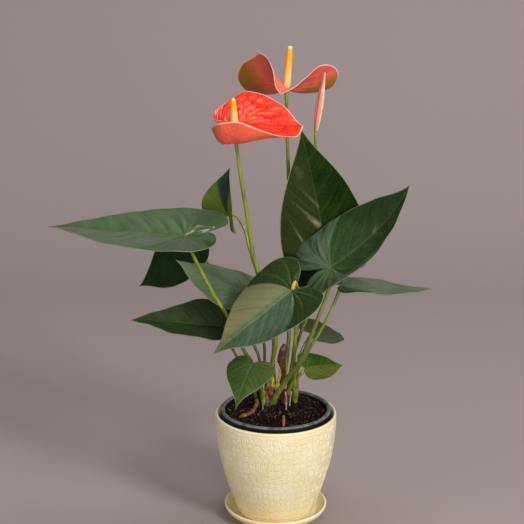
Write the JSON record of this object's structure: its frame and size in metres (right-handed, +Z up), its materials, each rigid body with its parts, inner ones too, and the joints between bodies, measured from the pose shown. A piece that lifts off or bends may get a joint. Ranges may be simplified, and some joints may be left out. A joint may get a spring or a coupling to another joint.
{
  "type": "potted anthurium",
  "caption": "Potted flamingo flower: heart-shaped leaves on long petioles, open red spathes and a rolled bud, in a grow pot inside a cream cover pot on its saucer.",
  "frame": {"origin": "centre of the saucer's underside, on the axis of the pots, at floor level", "axes": "+Z up along the pots' axis; -Y is the front of the plant as pictured and +X its right"},
  "size_m": [0.4442, 0.2536, 0.5426],
  "materials": {
    "glaze": "cream glaze, satin, over a fine raised pattern of short strokes",
    "grow_plastic": "dark grey injection-moulded plastic",
    "peat": "moist dark peat, rough",
    "leaf_mid": "mid green, waxy, glossy upper side",
    "leaf_dark": "dark green, waxy",
    "leaf_grey": "grey-green, half matt",
    "leaf_bright": "bright green, waxy",
    "stem": "yellow-green, smooth",
    "spathe_red": "coral red, glossy, quilted between its veins",
    "spathe_brown": "brown-red outside, salmon pink inside",
    "spathe_pink": "salmon pink, half glossy",
    "spadix": "yellow, finely beaded",
    "bark": "dry brown, rough",
    "sheath": "yellow, dry",
    "root_pink": "dull pink, matt",
    "root_pale": "pale tan, matt"
  },
  "bodies": {
    "root": {"saucer": "glaze", "cover_pot": "glaze", "grow_pot": "grow_plastic", "soil": "peat", "leaf_1": "leaf_mid", "petiole_1": "stem", "leaf_2": "leaf_dark", "petiole_2": "stem", "leaf_3": "leaf_dark", "petiole_3": "stem", "leaf_4": "leaf_grey", "petiole_4": "stem", "leaf_5": "leaf_dark", "petiole_5": "stem", "leaf_6": "leaf_mid", "petiole_6": "stem", "leaf_7": "leaf_dark", "petiole_7": "stem", "leaf_8": "leaf_mid", "petiole_8": "stem", "leaf_9": "leaf_grey", "petiole_9": "stem", "leaf_10": "leaf_grey", "petiole_10": "stem", "leaf_11": "leaf_bright", "petiole_11": "stem", "leaf_12": "leaf_bright", "petiole_12": "stem", "spathe_a": "spathe_red", "spadix_a": "spadix", "stalk_a": "stem", "spathe_b": "spathe_brown", "spadix_b": "spadix", "stalk_b": "stem", "spathe_c": "spathe_pink", "stalk_c": "stem", "crown_stub": "bark", "sheath_brown": "bark", "sheath_yellow": "sheath", "root_brown": "bark", "root_pink": "root_pink", "root_left": "root_pale", "root_middle": "root_pale", "root_right": "root_pale"}
  },
  "joints": []
}
